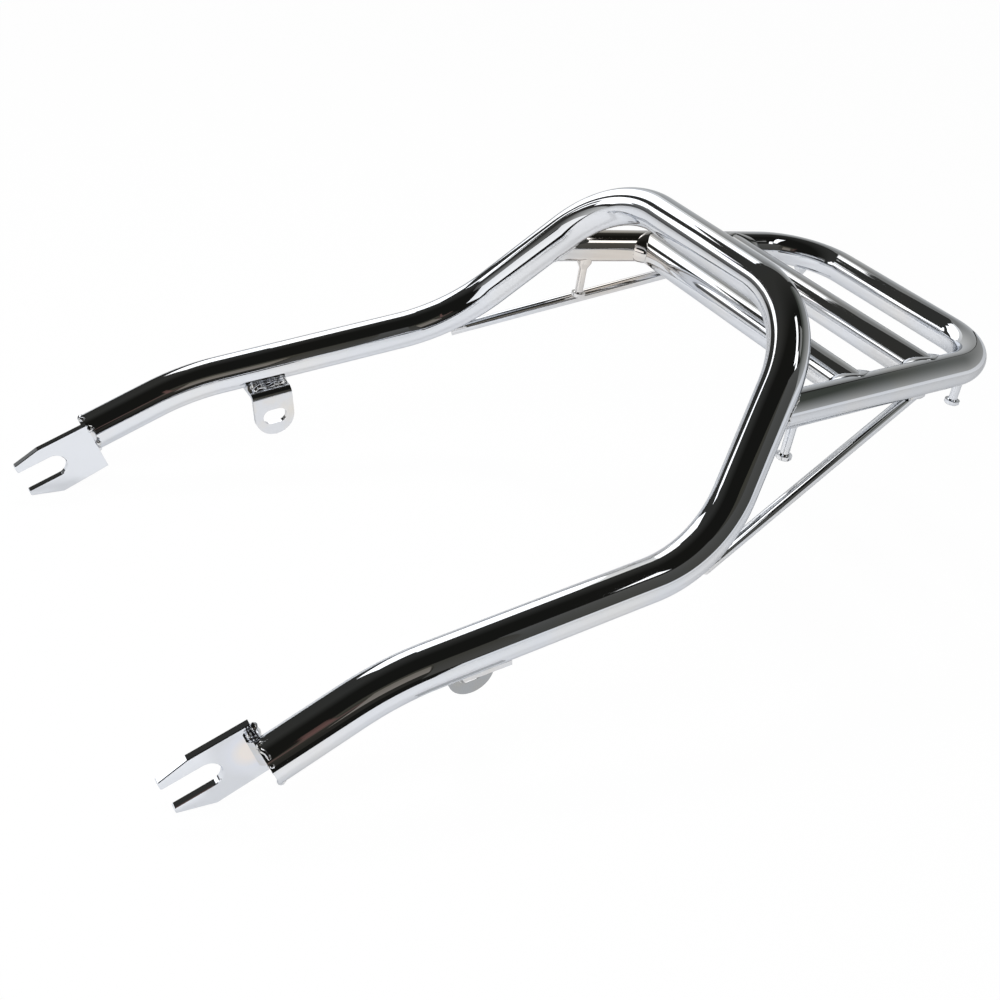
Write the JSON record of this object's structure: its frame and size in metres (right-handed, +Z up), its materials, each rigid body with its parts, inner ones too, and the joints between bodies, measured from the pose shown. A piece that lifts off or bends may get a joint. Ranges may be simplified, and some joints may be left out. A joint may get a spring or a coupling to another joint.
{
  "type": "motorcycle luggage rack",
  "caption": "Chrome tube luggage rack: a bent grab rail with fork plates and bent tabs carries a level tubular deck, braced by thin struts.",
  "frame": {"origin": "midway between the two fork slots, on the common line of the upper damper bolts", "axes": "+X to the left of the motorcycle, +Y to the rear, +Z up, with the luggage deck level"},
  "size_m": [0.3666, 0.587, 0.2308],
  "materials": {
    "chrome": "polished plating",
    "weld_metal": "plated weld, slightly rough"
  },
  "bodies": {
    "root": {"grab_rail": "chrome", "deck_hoop": "chrome", "front_cross_bar": "chrome", "rear_cross_bar": "chrome", "left_strut": "chrome", "left_fork_plate": "chrome", "left_fork_weld": "weld_metal", "left_mounting_tab": "chrome", "left_tab_weld": "weld_metal", "left_front_hook_stud": "chrome", "left_rear_hook_stud": "chrome", "right_strut": "chrome", "right_fork_plate": "chrome", "right_fork_weld": "weld_metal", "right_mounting_tab": "chrome", "right_tab_weld": "weld_metal", "right_front_hook_stud": "chrome", "right_rear_hook_stud": "chrome"}
  },
  "joints": []
}
